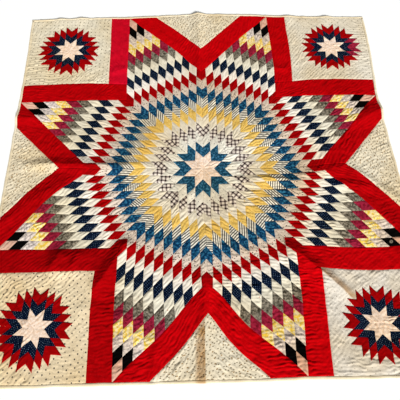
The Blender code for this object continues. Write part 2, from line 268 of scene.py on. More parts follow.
# Star arms. Eight diamond-shaped panels, each ten strips of ten small cotton diamonds, joined
# in a full circle so that each fabric makes one ring. Light cotton batting behind them, held by
# rows of hand quilting, puffs every diamond up between its seams.
SEAM_THICKNESS = 0.0030
PUFF = 0.0036
SEAM_SLOPE = 0.009
CELLS = 16
ROW_SPACING = 0.0165
ROW_WANDER = 0.40
WANDER_SIZE = 0.085
ROW_SHAKE = 0.36
SHAKE_SIZE = 0.022
ROW_SHARPNESS = 2.0
PUFF_BETWEEN_SEAMS = 0.38
REGION_BLEND = 0.006
PUCKER_LENGTH = 0.022
PUCKER_WIDTH = 0.0115
PUCKER_HEIGHT = 0.0016
SWELL_LENGTH = 0.042
SWELL_WIDTH = 0.022
SWELL_HEIGHT = 0.0020
SEAM_DEPTH = 0.62
LEAST_HEIGHT = 0.0023
LEAST_SHARE = 0.01
WAVE_SPREAD = 0.8
PUCKER_LEVEL = 0.4
SWELL_LEVEL = 0.3
PUFF_SPREAD = 0.55
PUFF_SPREAD_SIZE = 0.06

# How the rows of quilting run in each stretch of the quilt: its middle in patch sides, the
# rows' angle in degrees from +X, and how strongly they pucker. Two rows with one middle cross.
Stretch = namedtuple("Stretch", "x y angle strength")
STRETCHES = (
    Stretch(0.0, 2.4, 75, 0.7),
    Stretch(-2.4, 0.0, 150, 0.7),
    Stretch(2.4, 0.0, 10, 0.9),
    Stretch(0.0, -2.4, 100, 0.9),
    Stretch(5.2, 2.1, 25, 0.9),
    Stretch(2.1, 5.2, 62, 0.9),
    Stretch(-2.1, 5.2, 115, 0.8),
    Stretch(-5.2, 2.1, 152, 0.9),
    Stretch(-5.2, -2.1, 30, 1.0),
    Stretch(-2.1, -5.2, 50, 1.0),
    Stretch(2.1, -5.2, -14, 1.3),
    Stretch(5.2, -2.1, -6, 1.3),
    Stretch(9.4, 3.9, 20, 0.9),
    Stretch(3.9, 9.4, 68, 0.7),
    Stretch(-3.9, 9.4, 112, 0.7),
    Stretch(-9.4, 3.9, 160, 0.8),
    Stretch(-9.4, -3.9, 38, 1.0),
    Stretch(-3.9, -9.4, 40, 1.0),
    Stretch(3.9, -9.4, -4, 1.4),
    Stretch(9.4, -3.9, -5, 1.3),
    Stretch(14.2, 5.6, 30, 0.9),
    Stretch(5.6, 14.2, 75, 0.7),
    Stretch(-5.6, 14.2, 100, 0.7),
    Stretch(-14.2, 5.6, 165, 0.8),
    Stretch(-14.2, -5.6, 35, 0.9),
    Stretch(-5.6, -14.2, 20, 1.1),
    Stretch(5.6, -14.2, 0, 1.5),
    Stretch(14.2, -5.6, 8, 1.0),
    Stretch(8.2, -12.6, -2, 1.7),
    Stretch(2.6, -13.4, -38, 1.3),
    Stretch(-8.2, -12.6, 12, 1.2),
    Stretch(-2.6, -13.4, 50, 1.1),
    Stretch(-13.0, 2.2, 62, 1.0),
    Stretch(-13.0, -2.2, 55, 1.2),
    Stretch(12.6, 1.8, 52, 1.1),
    Stretch(12.6, -2.6, -25, 1.2),
    Stretch(9.8, 13.6, 52, 0.7),
    Stretch(13.3, 16.6, 128, 0.7),
    Stretch(13.3, 9.9, 45, 0.65),
    Stretch(16.6, 12.9, 0, 0.8),
    Stretch(-9.9, 12.5, 118, 0.8),
    Stretch(-13.2, 16.5, 80, 0.7),
    Stretch(-15.6, 10.4, 2, 0.9),
    Stretch(-12.0, 10.0, 45, 0.8),
    Stretch(-12.6, -9.7, 40, 1.1),
    Stretch(-16.6, -12.0, 48, 1.0),
    Stretch(-9.8, -12.4, 42, 0.8),
    Stretch(-9.8, -12.4, -48, 0.8),
    Stretch(-10.4, -16.2, 0, 0.8),
    Stretch(-10.4, -16.2, 90, 0.8),
    Stretch(-15.2, -16.4, 46, 1.0),
    Stretch(13.6, -9.7, 128, 1.2),
    Stretch(13.6, -9.7, 38, 1.2),
    Stretch(9.8, -13.0, 45, 1.1),
    Stretch(9.8, -13.0, -45, 1.1),
    Stretch(12.8, -16.6, 0, 1.3),
    Stretch(16.4, -12.5, -10, 1.1),
    Stretch(0.0, 15.2, 60, 0.8),
    Stretch(-15.4, 0.0, 35, 0.9),
    Stretch(15.4, 0.0, 25, 0.9),
    Stretch(-2.0, -16.2, 62, 1.0),
    Stretch(2.4, -16.2, -35, 1.0),
)


# Brown lines where the quilt was folded in storage, and a painted shade that browns the shaded
# flank of one fold: where each runs, how far it spreads to its left and right, and how strong it is
BrownLine = namedtuple("BrownLine", "x0 y0 x1 y1 left right strength")
STAINS_AND_SHADE = (
    BrownLine(-0.35, -12.9, -0.40, -17.9, 0.004, 0.046, 0.75),
    BrownLine(-2.0, -17.5, 3.0, -17.45, 0.012, 0.010, 0.35),
    # Painted shade: browner cloth on this fold's upper right flank, the side turned away from the light
    BrownLine(6.6, -7.1, 11.9, -11.9, 0.040, 0.004, 0.60),
)
STAIN_FADE = 0.05
STAIN_MOTTLE = 0.3
STAIN_MOTTLE_SIZE = 0.018
STAIN_AND_SHADE_BROWN = "#cfa468"


def stretch_weights(flat):
    """How much of each stretch's quilting there is at each place."""
    middles = np.array([(stretch.x, stretch.y) for stretch in STRETCHES]) * PATCH
    away = ((flat[:, None, :] - middles[None, :, :]) ** 2).sum(axis=2)
    weights = np.exp((away.min(axis=1, keepdims=True) - away) / REGION_BLEND)
    return weights / weights.sum(axis=1, keepdims=True)


def row_steps(angle):
    """One metre along rows of quilting at an angle in degrees, and one metre across them."""
    turn = math.radians(angle)
    return np.array((math.cos(turn), math.sin(turn))), np.array((-math.sin(turn), math.cos(turn)))


def rows_at(flat, angle):
    """Metres along the rows of quilting, and the number of rows across them."""
    ahead, aside = row_steps(angle)
    along, across = flat @ ahead, flat @ aside
    wander = ROW_WANDER * unevenness(flat, WANDER_SIZE, seed=21)
    shake = ROW_SHAKE * unevenness(flat, SHAKE_SIZE, seed=23)
    return along, across / ROW_SPACING + wander + shake


def relief(flat, from_seam):
    """Height of the top's face over the underside, at places whose nearest seam is so far."""
    edge = 1.0 - SEAM_DEPTH * (1.0 - np.clip(from_seam / SEAM_SLOPE, 0.0, 1.0)) ** 2
    weights = stretch_weights(flat)
    waves = np.zeros(len(flat))
    puckers = np.zeros(len(flat))
    swells = np.zeros(len(flat))
    for number, stretch in enumerate(STRETCHES):
        here = weights[:, number] > LEAST_SHARE
        if not here.any():
            continue
        along, rows = rows_at(flat[here], stretch.angle)
        share = weights[here, number] * stretch.strength
        between = 1.0 - np.abs(2.0 * (rows % 1.0) - 1.0) ** ROW_SHARPNESS
        stretched = np.column_stack((along / PUCKER_LENGTH, rows * ROW_SPACING / PUCKER_WIDTH))
        drawn = unevenness(stretched, 1.0, seed=31 + number)
        drawn_in = unevenness(stretched, 1.0, seed=131 + number)
        waves[here] += share * between * (1.0 + WAVE_SPREAD * drawn_in)
        puckers[here] += share * (PUCKER_LEVEL - np.abs(drawn))
        rolling = np.column_stack((along / SWELL_LENGTH, rows * ROW_SPACING / SWELL_WIDTH))
        swells[here] += share * (SWELL_LEVEL + unevenness(rolling, 1.0, seed=231 + number))
    strength = 1.0 + PUFF_SPREAD * unevenness(flat, PUFF_SPREAD_SIZE, seed=22)
    puffed = PUFF_BETWEEN_SEAMS + (1.0 - PUFF_BETWEEN_SEAMS) * waves * strength
    raised = SWELL_HEIGHT * swells + edge * (PUFF * puffed + PUCKER_HEIGHT * puckers)
    return np.maximum(SEAM_THICKNESS + raised, LEAST_HEIGHT)


def grid_cells(count_a, count_b, turned):
    """Four-sided faces of a grid of points. A turned one winds the other way."""
    i, j = np.meshgrid(np.arange(count_a - 1), np.arange(count_b - 1), indexing="ij")
    first = (i * count_b + j).ravel()
    cells = np.column_stack((first, first + count_b, first + count_b + 1, first + 1))
    return cells[:, ::-1] if turned else cells


def grid_places(corner, side_a, side_b, stations_a, stations_b):
    """Flat places of a grid that is spanned by two sides, with each place's own a and b."""
    a, b = (values.ravel() for values in np.meshgrid(stations_a, stations_b, indexing="ij"))
    return np.array(corner) + np.outer(a, side_a) + np.outer(b, side_b), a, b


def stain_and_shade_at(flat):
    """How brown old fold lines, and the painted shade along one fold, leave the cloth, from 0 to 1."""
    total = np.zeros(len(flat))
    for stain in STAINS_AND_SHADE:
        along, to_end, share = beside(flat, stain)
        ends = rise(along, STAIN_FADE) * rise(to_end, STAIN_FADE)
        mottle = 1.0 + STAIN_MOTTLE * unevenness(flat, STAIN_MOTTLE_SIZE, seed=25)
        total += stain.strength * (1.0 - share**3) * ends * mottle
    return np.clip(total, 0.0, 1.0)


def as_cloth(
    name, flat, height, faces, prints, tones, materials, picks,
    solid="quilt_layers",
):
    """Makes a piece of cloth from flat places and their heights over the underside. Prints are
    the places of the print at the faces' corners, tones lighten or darken single faces, where 1
    is 7 hundredths lighter: each patch's own random tone, and painted light and shade on the red
    bands, and picks choose each face's material."""
    mesh = bpy.data.meshes.new(name)
    mesh.from_pydata(lie_of(flat, height).tolist(), [], faces)
    for material in materials:
        mesh.materials.append(material)
    mesh.polygons.foreach_set("material_index", np.asarray(picks, dtype=np.int32))
    mesh.uv_layers.new(name="print").data.foreach_set("uv", prints.astype(np.float32).ravel())
    shade = mesh.attributes.new("tone", "FLOAT", "FACE")
    shade.data.foreach_set("value", np.asarray(tones, dtype=np.float32))
    brown = mesh.attributes.new("stain", "FLOAT", "POINT")
    brown.data.foreach_set("value", stain_and_shade_at(flat).astype(np.float32))
    mesh.shade_smooth()
    mesh.update()
    piece = bpy.data.objects.new(name, mesh)
    bpy.context.scene.collection.objects.link(piece)
    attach(piece, "root")
    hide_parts(solid)
    return piece


def paint(code):
    """The linear colour of an sRGB hex code."""
    channels = [int(code[k : k + 2], 16) / 255.0 for k in (1, 3, 5)]
    linear = [c / 12.92 if c <= 0.04045 else ((c + 0.055) / 1.055) ** 2.4 for c in channels]
    return (*linear, 1.0)


def node(tree, kind, inputs, result=0, **settings):
    """Adds a node, sets or links its inputs, and gives back one of its outputs."""
    made = tree.nodes.new(kind)
    for name, value in settings.items():
        setattr(made, name, value)
    for key, value in inputs.items():
        if isinstance(value, bpy.types.NodeSocket):
            tree.links.new(value, made.inputs[key])
        else:
            made.inputs[key].default_value = value
    return made.outputs[result]


# A colour Mix node's two colour inputs and its colour output, and a Map Range node's results
# for a mask that falls from 1 to 0 as its value rises
FIRST, SECOND, MIXED = 6, 7, 2
FALLING = {"To Min": 1.0, "To Max": 0.0}
SPOT_SOFTNESS = 0.25
THREAD_PITCH = 0.0014
THREAD_RELIEF = 0.00012
CREPE_PITCH = 0.006
CREPE_RELIEF = 0.0010
AGE_SIZE = 0.35
TONE_SPREAD = 0.07


def stripes(tree, axis, place, pitch, width, softness):
    """A mask of stripes that run across one axis of the print."""
    spot = node(tree, "ShaderNodeSeparateXYZ", {0: place}, result=axis)
    turns = node(tree, "ShaderNodeMath", {0: spot, 1: 1.0 / pitch}, operation="MULTIPLY")
    away = node(tree, "ShaderNodeMath", {0: turns, 1: 0.5}, operation="PINGPONG")
    half = 0.5 * width / pitch
    soft = softness / pitch
    limits = {"Value": away, "From Min": half - soft, "From Max": half + soft, **FALLING}
    return node(tree, "ShaderNodeMapRange", limits, interpolation_type="SMOOTHSTEP")


def spots(tree, place, pitch, radius, scatter):
    """A mask of round spots on a lattice that is shaken by scatter, from 0 to 1."""
    grain = {"Vector": place, "Scale": 1.0 / pitch, "Randomness": scatter}
    away = node(tree, "ShaderNodeTexVoronoi", grain, result="Distance")
    edge, soft = radius / pitch, SPOT_SOFTNESS
    limits = {"Value": away, "From Min": edge * (1.0 - soft), "From Max": edge * (1.0 + soft), **FALLING}
    return node(tree, "ShaderNodeMapRange", limits, interpolation_type="SMOOTHSTEP")


def blotches(tree, place, size, least, most):
    """A mask of soft patches with ragged edges, where a cloud's value rises from least to
    most."""
    grain = {"Vector": place, "Scale": 1.0 / size, "Detail": 3.0, "Roughness": 0.6}
    cloud = node(tree, "ShaderNodeTexNoise", grain, result="Fac")
    limits = {"Value": cloud, "From Min": least, "From Max": most}
    return node(tree, "ShaderNodeMapRange", limits, interpolation_type="SMOOTHSTEP")


def inked(tree, mask, ground, ink):
    """The ground colour, with the ink colour where the mask is. Each is a hex code or comes
    from another node."""
    ground, ink = (paint(dye) if isinstance(dye, str) else dye for dye in (ground, ink))
    mixed = {0: mask, FIRST: ground, SECOND: ink}
    return node(tree, "ShaderNodeMix", mixed, result=MIXED, data_type="RGBA")


def cotton(name, printed, crepe=1.0, age="#efe3cc", roughness=0.86, gloss=0.12):
    """A plain-woven cotton. Its threads are drawn two or three times too coarse, so that they
    show in a close view. Crepe is how crinkled washing has left it, and age its worn tint."""
    material = bpy.data.materials.new(name)
    material.use_nodes = True
    tree = material.node_tree
    shader = tree.nodes["Principled BSDF"]
    place = node(tree, "ShaderNodeUVMap", {}, uv_map="print")
    spot = node(tree, "ShaderNodeTexCoord", {}, result="Object")
    # Each face's tone: a random one for each patch, and painted light and shade on the red bands
    tone = node(tree, "ShaderNodeAttribute", {}, result="Fac", attribute_name="tone")
    shade = {"Value": tone, "From Min": -1.0, "To Min": 1.0 - TONE_SPREAD, "To Max": 1.0 + TONE_SPREAD}
    level = node(tree, "ShaderNodeMapRange", shade, clamp=False)
    wear = blotches(tree, spot, AGE_SIZE, 0.30, 0.75)
    # Brown from old fold stains, and painted shade on one fold's shaded flank
    stain = node(tree, "ShaderNodeAttribute", {}, result="Fac", attribute_name="stain")
    colour = printed(tree, place)
    for share, tint in ((1.0, level), (wear, paint(age)), (stain, paint(STAIN_AND_SHADE_BROWN))):
        tinted = {0: share, FIRST: colour, SECOND: tint}
        colour = node(tree, "ShaderNodeMix", tinted, result=MIXED, data_type="RGBA", blend_type="MULTIPLY")
    tree.links.new(colour, shader.inputs["Base Color"])
    warp, weft = (
        stripes(tree, axis, place, THREAD_PITCH, THREAD_PITCH * 0.5, THREAD_PITCH * 0.25)
        for axis in (0, 1)
    )
    threads = node(tree, "ShaderNodeMath", {0: warp, 1: weft}, operation="ADD")
    woven = node(tree, "ShaderNodeBump", {"Height": threads, "Distance": THREAD_RELIEF, "Strength": 0.5})
    crinkle = {"Vector": spot, "Scale": 1.0 / CREPE_PITCH, "Detail": 2.0, "Roughness": 0.55}
    cloud = node(tree, "ShaderNodeTexNoise", crinkle, result="Fac")
    crinkled = {"Height": cloud, "Distance": CREPE_RELIEF * crepe, "Strength": 0.6, "Normal": woven}
    tree.links.new(node(tree, "ShaderNodeBump", crinkled), shader.inputs["Normal"])
    shader.inputs["Roughness"].default_value = roughness
    shader.inputs["Specular IOR Level"].default_value = gloss
    return material


def peach_sateen(tree, place):
    """Pale peach, faintly clouded by washing."""
    return inked(tree, blotches(tree, place, 0.012, 0.42, 0.62), "#f6e2d2", "#e6c8ae")


def teal_print(tree, place):
    """Dark teal under small ragged sprays of a lighter one."""
    return inked(tree, blotches(tree, place, 0.011, 0.46, 0.60), "#0e3b55", "#3b708d")


def dotted_white(tree, place):
    """Soft white with small scattered dots of violet grey."""
    return inked(tree, spots(tree, place, 0.0140, 0.0024, 0.45), "#e1dccd", "#68616d")


def black_plaid(tree, place):
    """White ground under crossing bars, black where two bars cross."""
    bars = [stripes(tree, axis, place, 0.0205, 0.0082, 0.0014) for axis in (0, 1)]
    once = inked(tree, bars[0], "#e6dccd", "#83746f")
    crossing = node(tree, "ShaderNodeMath", {0: bars[0], 1: bars[1]}, operation="MULTIPLY")
    twice = inked(tree, bars[1], once, "#83746f")
    return inked(tree, crossing, twice, "#17120f")


def white_sprig(tree, place):
    """Off-white with sparse yellow and grey flecks."""
    yellow = inked(tree, spots(tree, place, 0.013, 0.0022, 0.9), "#ded4be", "#d1b168")
    return inked(tree, spots(tree, place, 0.017, 0.0020, 0.9), yellow, "#837b82")


def golden_yellow(tree, place):
    """Deep yellow, finely mottled, and badly crinkled by washing."""
    return inked(tree, blotches(tree, place, 0.008, 0.40, 0.68), "#dfbd66", "#d3a749")


def black_pinstripe(tree, place):
    """Off-white shirting with close black lines."""
    lines = stripes(tree, 0, place, 0.0106, 0.0047, 0.0010)
    return inked(tree, lines, "#e4decd", "#2a2a2c")


def indigo_print(tree, place):
    """Dark indigo under small ragged sprays of a lighter blue."""
    return inked(tree, blotches(tree, place, 0.011, 0.46, 0.60), "#052e50", "#2a6788")


def speckled_beige(tree, place):
    """Warm beige, crowded with brown specks and a few red ones."""
    brown = inked(tree, spots(tree, place, 0.0110, 0.0031, 0.8), "#d2c2b2", "#4a4038")
    return inked(tree, spots(tree, place, 0.019, 0.0024, 1.0), brown, "#a13f34")


def turkey_red(tree, place):
    """A fast, deep red that hardly fades."""
    return inked(tree, blotches(tree, place, 0.030, 0.35, 0.75), "#9d0205", "#8c0204")


def bleached_cream(tree, place):
    """Almost white and nearly plain."""
    return inked(tree, blotches(tree, place, 0.040, 0.35, 0.75), "#eae2d6", "#e2d8c6")


def navy_pindot(tree, place):
    """Navy, close to black, with even rows of pale pin dots."""
    return inked(tree, spots(tree, place, 0.0085, 0.0012, 0.15), "#030f26", "#6d879c")


def cream_sprig(tree, place):
    """Cream with a very few rust red dots."""
    return inked(tree, spots(tree, place, 0.038, 0.0026, 1.0), "#e0d9c4", "#b8705c")


def olive_tweed(tree, place):
    """Mixed olive grey with darker clots, like a tweed."""
    fine = inked(tree, blotches(tree, place, 0.010, 0.42, 0.60), "#5e594d", "#918878")
    return inked(tree, blotches(tree, place, 0.016, 0.53, 0.62), fine, "#3a3528")


def plum_sateen(tree, place):
    """Wine red, mottled darker."""
    return inked(tree, blotches(tree, place, 0.014, 0.44, 0.62), "#98203b", "#731124")


def yellow_swirl(tree, place):
    """Pale yellow under ragged patches of a strong one."""
    return inked(tree, blotches(tree, place, 0.014, 0.46, 0.56), "#efdca7", "#e5c247")


def pearl_grey(tree, place):
    """Pinkish grey under ragged patches of a darker one."""
    return inked(tree, blotches(tree, place, 0.014, 0.46, 0.58), "#ded0c4", "#aea39e")


def mourning_black(tree, place):
    """Black ground with a few large grey rings."""
    ring = inked(tree, spots(tree, place, 0.085, 0.0085, 0.6), "#060505", "#7d7870")
    return inked(tree, spots(tree, place, 0.085, 0.0045, 0.6), ring, "#4a4640")


def pink_peach(tree, place):
    """Dull pink peach, nearly plain."""
    return inked(tree, blotches(tree, place, 0.014, 0.35, 0.70), "#d9b09c", "#cfa28a")


RING_COTTONS = (
    cotton("peach_cotton_sateen", peach_sateen),
    cotton("teal_printed_cotton", teal_print, gloss=0.05),
    cotton("white_cotton_with_pin_dots", dotted_white),
    cotton("black_and_white_plaid_cotton", black_plaid),
    cotton("white_sprigged_cotton", white_sprig),
    cotton("golden_yellow_cotton", golden_yellow, crepe=2.0),
    cotton("black_pinstriped_shirting", black_pinstripe),
    cotton("indigo_printed_cotton", indigo_print, gloss=0.05),
    cotton("speckled_beige_cotton", speckled_beige),
    cotton("turkey_red_cotton", turkey_red, gloss=0.02),
    cotton("bleached_cream_muslin", bleached_cream),
    cotton("navy_cotton_with_pin_dots", navy_pindot, gloss=0.03),
    cotton("cream_sprigged_muslin", cream_sprig),
    cotton("olive_grey_tweed_print", olive_tweed, crepe=1.6),
    cotton("plum_cotton_sateen", plum_sateen, gloss=0.04),
    cotton("yellow_swirl_cotton", yellow_swirl),
    cotton("pearl_grey_cotton", pearl_grey),
    cotton("mourning_black_cotton", mourning_black, gloss=0.02),
    cotton("pink_peach_cotton", pink_peach),
)


def swung(places, turn):
    """Flat places turned about the middle by one turn, or each by its own."""
    cos, sin = np.cos(turn), np.sin(turn)
    x, y = places.T
    return np.column_stack((x * cos - y * sin, x * sin + y * cos))


def patch_prints(mesh_faces, flat, patch_of_face, rng, patch_count, turns):
    """Print places at the corners of four-sided faces: each patch is cut from its own spot of
    the cloth, at its own turn."""
    patch = np.repeat(patch_of_face, mesh_faces.shape[1])
    away = rng.uniform(-0.5, 0.5, (patch_count, 2))[patch]
    return swung(flat[mesh_faces.ravel()], turns[patch]) + away


# The joints between the arms ate into the patches beside them, more towards the outside. These
# are the parts of a patch that each joint has lost at its outer end, anticlockwise from +X.
JOINT_LOSS = (0.19, 0.28, 0.42, 0.18, 0.24, 0.20, 0.40, 0.30)
# How a patch's threads may lie against its arm's, mostly with them, and how far off by hand
GRAIN_TURNS = (0.0, 0.0, 0.0, 0.0, ARM_ANGLE, math.pi / 2.0)
GRAIN_SPREAD = 0.06


def trimmed(count, other, loss):
    """Places along one side of an arm, with its first strip narrower towards the outside."""
    eaten = loss * other / ARM_PATCHES
    narrow = count * (1.0 - (1.0 - 1.0 / ARM_PATCHES) * eaten)
    return np.where(count < 1.0, narrow, count - eaten * (1.0 - count / ARM_PATCHES))


def toward(turn, length):
    """A step of a length at a turn from +X."""
    return length * np.array((math.cos(turn), math.sin(turn)))


def star_arm(number):
    """One arm, from the quilt's middle out to its tip."""
    sides = [toward(turn, PATCH) for turn in (number * ARM_ANGLE, (number + 1) * ARM_ANGLE)]
    stations = np.linspace(0.0, ARM_PATCHES, ARM_PATCHES * CELLS + 1)
    _, a, b = grid_places((0.0, 0.0), *sides, stations, stations)
    along_a = trimmed(a, b, JOINT_LOSS[(number + 1) % ARMS])
    along_b = trimmed(b, a, JOINT_LOSS[number])
    flat = np.outer(along_a, sides[0]) + np.outer(along_b, sides[1])
    to_seam = [np.abs(value - np.round(value)) for value in (a, b)]
    from_seam = np.minimum(*to_seam) * PATCH * math.sin(ARM_ANGLE)
    cells = grid_cells(len(stations), len(stations), turned=False)
    middle_a, middle_b = a[cells].mean(axis=1), b[cells].mean(axis=1)
    column, row = middle_a.astype(int), middle_b.astype(int)
    patch = column * ARM_PATCHES + row
    rng = np.random.default_rng(100 + number)
    patch_count = ARM_PATCHES**2
    grain = math.pi / 2.0 - number * ARM_ANGLE
    grain += rng.choice(GRAIN_TURNS, patch_count)
    turns = grain + rng.normal(0.0, GRAIN_SPREAD, patch_count)
    return as_cloth(
        f"star_arm_{number + 1}",
        flat,
        relief(flat, from_seam),
        cells.tolist(),
        patch_prints(cells, flat, patch, rng, patch_count, turns),
        rng.uniform(-1.0, 1.0, patch_count)[patch],
        RING_COTTONS,
        column + row,
    )


arms = [star_arm(number) for number in range(ARMS)]


# Red bands. Straight strips of turkey red cotton round the star: one across and one up in each
# corner, and a mitred pair in each gap between two arms. One strip is of a pinker, later red.
BAND_PATCHES = BAND_WIDTH / PATCH
BAND_CELLS = 30
BLOCK_CELLS = 130
ACROSS_TURN, UP_TURN = 0.02, 1.58
GAP_TURNS = (0.78, 2.35)


def band_red(tree, place):
    """A brighter turkey red than the star's, softly worn."""
    return inked(tree, blotches(tree, place, 0.035, 0.35, 0.75), "#b60107", "#a20005")


def pinker_red(tree, place):
    """A later dye, bluer and lighter."""
    return inked(tree, blotches(tree, place, 0.030, 0.35, 0.75), "#cc0a26", "#bd0620")


BAND_COTTON = cotton("turkey_red_band_cotton", band_red, crepe=1.3, gloss=0.02)
PINK_BAND_COTTON = cotton("pinker_red_band_cotton", pinker_red, crepe=1.3, gloss=0.02)


def plain_piece(name, flat, from_seam, faces, material, turn, tone=0.0):
    """A piece cut from one cloth, with its print at one turn."""
    corners = np.array([corner for face in faces for corner in face])
    prints = swung(flat[corners], turn)
    tones, picks = np.full(len(faces), tone), np.zeros(len(faces))
    return as_cloth(name, flat, relief(flat, from_seam), faces, prints, tones, (material,), picks)


def corner_piece(name, sign_x, sign_y, span_x, span_y, cells_x, cells_y, material, turn, tone=0.0):
    """A rectangle in one corner of the quilt, given by its spans from the arms' inner corner."""
    stations_x = np.linspace(*span_x, cells_x + 1)
    stations_y = np.linspace(*span_y, cells_y + 1)
    corner = (sign_x * CORNER, sign_y * CORNER)
    flat, a, b = grid_places(corner, (sign_x, 0.0), (0.0, sign_y), stations_x, stations_y)
    from_side = [np.minimum(a - span_x[0], span_x[1] - a), np.minimum(b - span_y[0], span_y[1] - b)]
    cells = grid_cells(len(stations_x), len(stations_y), turned=sign_x * sign_y < 0)
    return plain_piece(name, flat, np.minimum(*from_side), cells.tolist(), material, turn, tone)


CORNERS = (("ne", 1, 1), ("nw", -1, 1), ("sw", -1, -1), ("se", 1, -1))
# Painted light and shade: how much lighter or darker each corner's strips across and up are drawn
CORNER_PAINTED_LIGHT = {"ne": (0.0, 0.7), "nw": (-0.4, 0.0), "sw": (-4.0, -1.7), "se": (1.7, 3.4)}
for place, sign_x, sign_y in CORNERS:
    painted_light_across, painted_light_up = CORNER_PAINTED_LIGHT[place]
    across = corner_piece(
        f"red_band_{place}_across", sign_x, sign_y, (0.0, ARM), (0.0, BAND_WIDTH),
        ARM_PATCHES * CELLS, BAND_CELLS, BAND_COTTON, ACROSS_TURN, painted_light_across,
    )
    up = corner_piece(
        f"red_band_{place}_up", sign_x, sign_y, (0.0, BAND_WIDTH), (BAND_WIDTH, ARM),
        BAND_CELLS, BLOCK_CELLS, PINK_BAND_COTTON if place == "nw" else BAND_COTTON, UP_TURN, painted_light_up,
    )


def gap_frame(quarter):
    """The inner corner of a gap between two arms, and its two leg directions."""
    turn = quarter * math.pi / 2.0
    return toward(turn, ARM), [toward(turn + side, PATCH) for side in (-ARM_ANGLE, ARM_ANGLE)]


def gap_band(name, quarter, leg, tone):
    """A strip along one leg of a gap, mitred to its fellow and cut off at the quilt's edge."""
    apex, legs = gap_frame(quarter)
    ends = np.linspace(0.0, 1.0, ARM_PATCHES * CELLS + 1)
    widths = np.linspace(0.0, BAND_PATCHES, BAND_CELLS + 1)
    s, t = (values.ravel() for values in np.meshgrid(ends, widths, indexing="ij"))
    length = ARM_PATCHES - 2.0 * t
    flat = apex + np.outer(t + s * length, legs[leg]) + np.outer(t, legs[1 - leg])
    sides = [t, BAND_PATCHES - t, s * length, (1.0 - s) * length]
    from_seam = np.minimum.reduce(sides) * PATCH
    cells = grid_cells(len(ends), len(widths), turned=leg == 1)
    return plain_piece(name, flat, from_seam, cells.tolist(), BAND_COTTON, GAP_TURNS[leg], tone)


GAPS = ("right", "head", "left", "foot")
# Painted light and shade: how much lighter or darker each gap's two strips are drawn
GAP_PAINTED_LIGHT = {"right": (-0.4, -0.7), "head": (2.0, 2.0), "left": (-1.1, -2.5), "foot": (1.4, 3.4)}
for quarter, place in enumerate(GAPS):
    for leg in (0, 1):
        band = gap_band(f"red_band_{place}_{leg + 1}", quarter, leg, GAP_PAINTED_LIGHT[place][leg])


# Corner blocks. Four squares of cream calico with small printed dots, each cut from the cloth at
# another turn and unlike in shade: light has yellowed the left foot one, the right one is greyer.
BLOCK = ARM - BAND_WIDTH
DOT_PITCH = 0.0250
DOT_SCATTER = 0.12
Block = namedtuple("Block", "ground ink spot_radius turn")
BLOCKS = {
    "ne": Block("#dcd3c0", "#81765f", 0.0031, 0.80),
    "nw": Block("#dfd6bf", "#857c68", 0.0036, 0.06),
    "sw": Block("#e2d0ae", "#4c4741", 0.0037, 0.62),
    "se": Block("#dbd4c8", "#a2988a", 0.0026, 1.20),
}


def dotted_calico(block):
    """Cream calico with rows of small dots, as that block's own length was printed."""
    def printed(tree, place):
        dots = spots(tree, place, DOT_PITCH, block.spot_radius, DOT_SCATTER)
        return inked(tree, dots, block.ground, block.ink)

    return printed


for place, sign_x, sign_y in CORNERS:
    span = (BAND_WIDTH, ARM)
    calico = cotton(f"dotted_cream_calico_{place}", dotted_calico(BLOCKS[place]))
    square = corner_piece(
        f"corner_block_{place}", sign_x, sign_y, span, span,
        BLOCK_CELLS, BLOCK_CELLS, calico, BLOCKS[place].turn,
    )


# Medallions. A small pieced star on each corner block: eight arms of a peach, two navy and three
# red diamonds, with its raw edge turned under and sewn down by hand. Plum took over from red at
# one side of the medallion in the right head corner.
SMALL_PATCH = 0.0480
SMALL_RINGS = 3
SMALL_CELLS = 10
APPLIQUE_LIFT = 0.0009
SMALL_PUFF = 0.0009
EDGE_DROP = 0.0011
WELD_DISTANCE = 0.00002
# How far the outer diamonds' points reach, in arm sides
Medallion = namedtuple("Medallion", "x y turn")
MEDALLIONS = {
    "ne": Medallion(13.37, 13.16, 0.0),
    "nw": Medallion(-13.19, 12.97, -0.045),
    "sw": Medallion(-13.34, -13.23, -0.090),
    "se": Medallion(13.25, -13.29, -0.055),
}
# The arm and the steps out along its two sides of each plum diamond, and plum's own number
PLUM_PLACES = {(7, 1, 1), (7, 0, 2), (0, 2, 0), (0, 1, 1)}
PLUM = 3
PEACH_RING, NAVY_RING, RED_RING, PLUM_RING = 0, 11, 9, 14
SMALL_COTTONS = [RING_COTTONS[ring] for ring in (PEACH_RING, NAVY_RING, RED_RING, PLUM_RING)]


